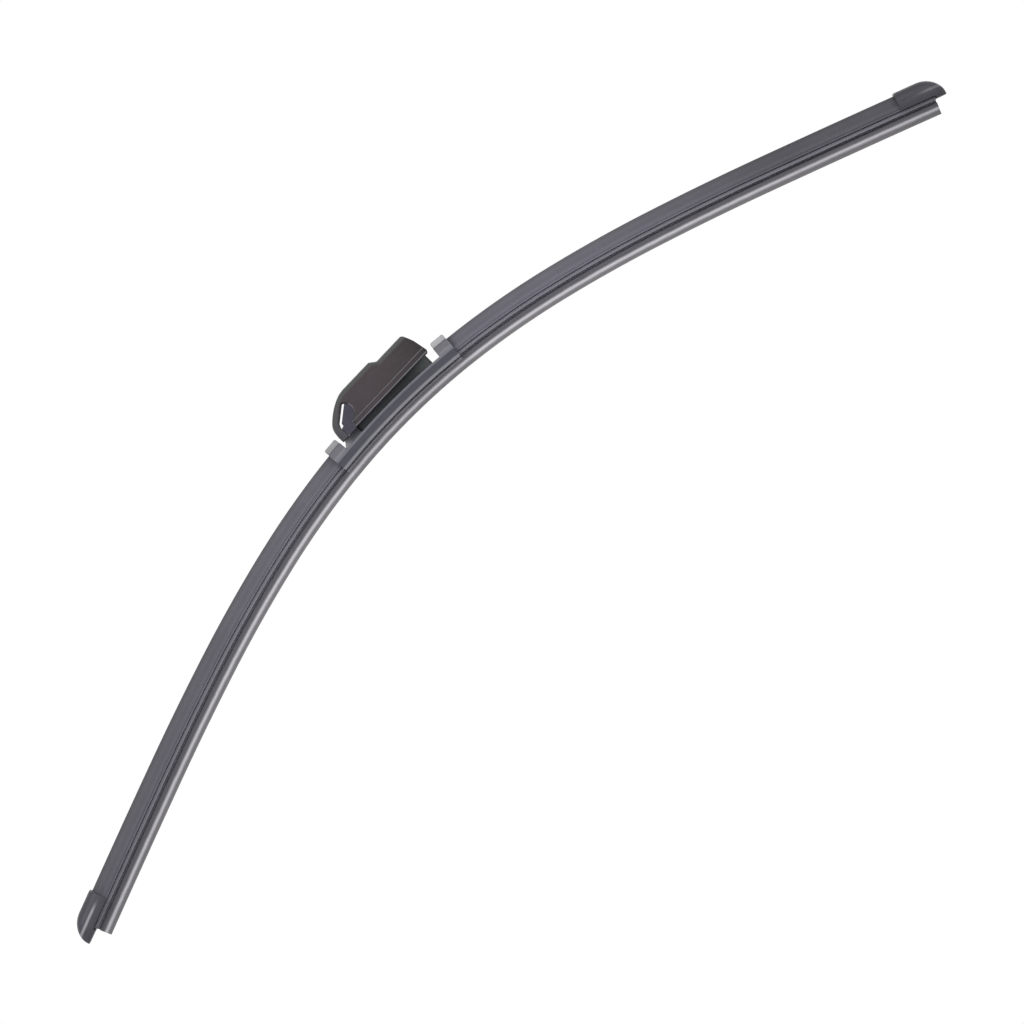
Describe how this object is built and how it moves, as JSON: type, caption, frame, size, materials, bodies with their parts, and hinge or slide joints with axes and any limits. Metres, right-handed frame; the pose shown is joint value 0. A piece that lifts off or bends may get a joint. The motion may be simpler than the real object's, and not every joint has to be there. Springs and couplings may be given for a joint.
{
  "type": "wiper blade",
  "caption": "Flat windscreen wiper blade: bowed rubber and spoiler strip with end caps and a pitching centre adapter for a hook arm.",
  "frame": {"origin": "centre of the seat that the arm's hook closes round, on the pivot axis, midway across the blade", "axes": "+X along the blade, towards the end that the arm lies over (right in the picture); +Y across it, towards the side away from the camera; +Z away from the glass"},
  "size_m": [0.5864, 0.018, 0.1184],
  "materials": {
    "wiping_rubber": "satin",
    "sprung_steel": "satin",
    "spoiler_plastic": "matte",
    "cap_plastic": "satin",
    "base_plastic": "satin",
    "light_plastic": "satin",
    "cast_carrier": "satin",
    "pivot_steel": "satin",
    "adapter_plastic": "matte",
    "guide_plastic": "satin"
  },
  "bodies": {
    "adapter": {"adapter_body": "adapter_plastic", "nose_guide": "guide_plastic"},
    "blade": {"rubber_strip": "wiping_rubber", "rail_front": "sprung_steel", "rail_rear": "sprung_steel", "spoiler_left": "spoiler_plastic", "spoiler_right": "spoiler_plastic", "rail_clip_left": "sprung_steel", "rail_clip_right": "sprung_steel", "end_cap_left": "cap_plastic", "end_cap_right": "cap_plastic", "base_shell": "base_plastic", "end_stop_left": "light_plastic", "end_stop_right": "light_plastic", "pivot_carrier": "cast_carrier", "pivot_sleeve": "pivot_steel", "pivot_rivet": "pivot_steel"}
  },
  "joints": [
    {"name": "adapter_pivot", "type": "hinge", "parent": "adapter", "child": "blade", "pos_m": [0, 0, 0], "axis": [0, 1, 0], "range_deg": [-10, 7]}
  ]
}
